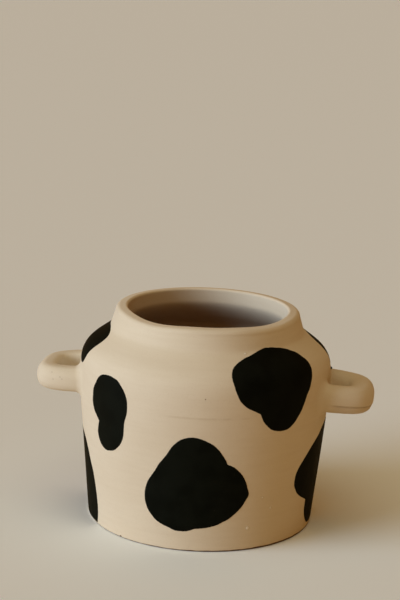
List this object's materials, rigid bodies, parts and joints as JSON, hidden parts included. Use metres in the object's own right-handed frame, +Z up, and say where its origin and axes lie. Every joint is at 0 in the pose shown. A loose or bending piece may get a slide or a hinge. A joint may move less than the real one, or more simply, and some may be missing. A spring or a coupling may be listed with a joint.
{
  "type": "utensil crock",
  "caption": "Squat round ceramic crock with a wide flared neck and two looped side handles, painted with cow-hide blotches, for standing spoons and spatulas in.",
  "frame": {"origin": "centre of the foot, on the surface that the crock stands on", "axes": "+Z up along the turning axis, +X out through the right handle, -Y towards the front"},
  "size_m": [0.2148, 0.158, 0.135],
  "materials": {
    "cream_pottery": "matte, fine-grained cream paint on unglazed earthenware",
    "black_paint": "matte black paint with a crisp hand-cut edge"
  },
  "bodies": {
    "root": {"jar_body": "cream_pottery", "handle_left": "cream_pottery", "handle_right": "cream_pottery", "spot_front_low": "black_paint", "spot_front_left": "black_paint", "spot_front_right": "black_paint", "spot_left_shoulder": "black_paint", "spot_right_shoulder": "black_paint", "spot_left_long": "black_paint", "spot_right_low": "black_paint", "spot_back_low": "black_paint", "spot_back_high": "black_paint", "spot_back_left": "black_paint", "spot_back_right": "black_paint"}
  },
  "joints": []
}
